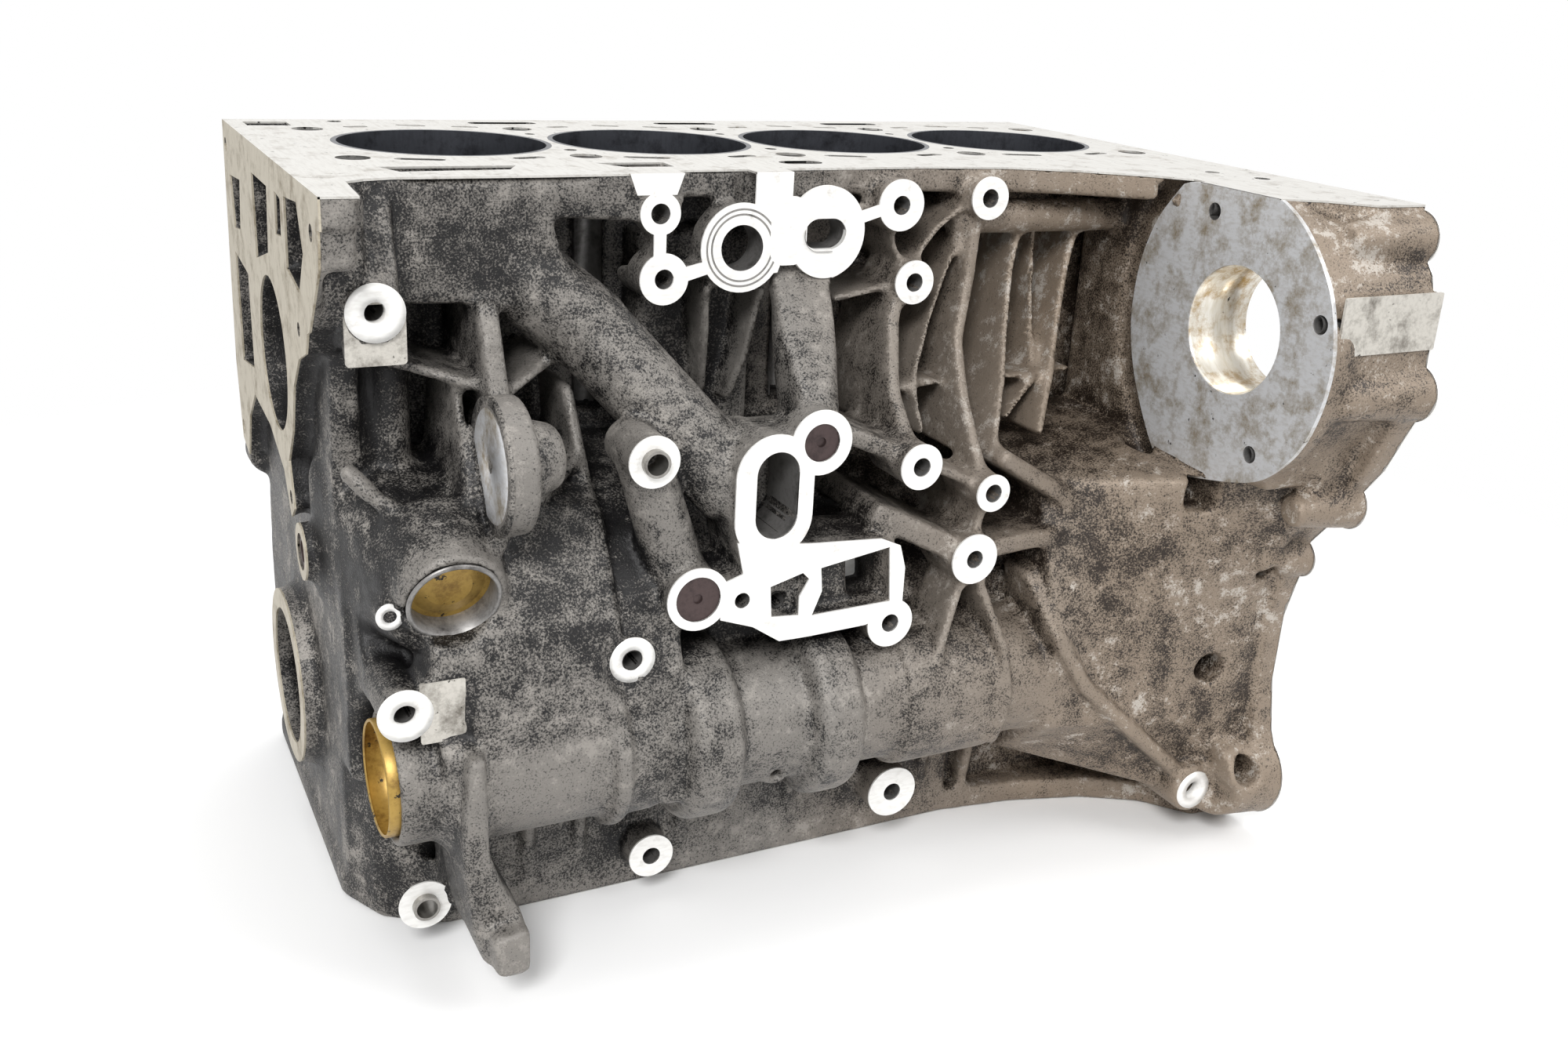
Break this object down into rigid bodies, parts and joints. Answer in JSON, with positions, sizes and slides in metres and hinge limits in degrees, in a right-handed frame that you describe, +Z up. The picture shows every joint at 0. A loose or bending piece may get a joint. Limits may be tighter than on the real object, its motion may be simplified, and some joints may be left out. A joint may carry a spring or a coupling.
{
  "type": "engine block",
  "caption": "Inline diesel crankcase, cast aluminium with iron liners, bearing caps, balance shaft tunnel, pump flange and timing chest.",
  "frame": {"origin": "axis of cylinder 1 where it meets the deck face", "axes": "+X along the crankshaft from the front end to the flywheel end, +Y from the near side with the balance shaft to the far side, +Z up out of the cylinders"},
  "size_m": [0.411, 0.39, 0.301],
  "materials": {
    "cast_aluminium": "as cast, stained, with milled faces",
    "liner_iron": "honed",
    "cap_iron": "machined",
    "bolt_steel": "phosphated",
    "yellow_plug": "yellow passivated zinc",
    "dark_plug": "oiled black",
    "sleeve_steel": "ground"
  },
  "bodies": {
    "root": {"crankcase": "cast_aluminium", "liner_1": "liner_iron", "liner_2": "liner_iron", "liner_3": "liner_iron", "liner_4": "liner_iron", "main_cap_1": "cap_iron", "main_cap_2": "cap_iron", "main_cap_3": "cap_iron", "main_cap_4": "cap_iron", "main_cap_5": "cap_iron", "cap_bolts_1": "bolt_steel", "cap_bolts_2": "bolt_steel", "cap_bolts_3": "bolt_steel", "cap_bolts_4": "bolt_steel", "cap_bolts_5": "bolt_steel", "balance_tunnel_plug": "yellow_plug", "coolant_core_plug": "yellow_plug", "upper_gallery_plug": "dark_plug", "lower_gallery_plug": "dark_plug", "front_gallery_plug": "dark_plug", "far_locating_pin": "dark_plug", "upper_dowel_sleeve": "sleeve_steel", "lower_dowel_sleeve": "sleeve_steel"}
  },
  "joints": []
}
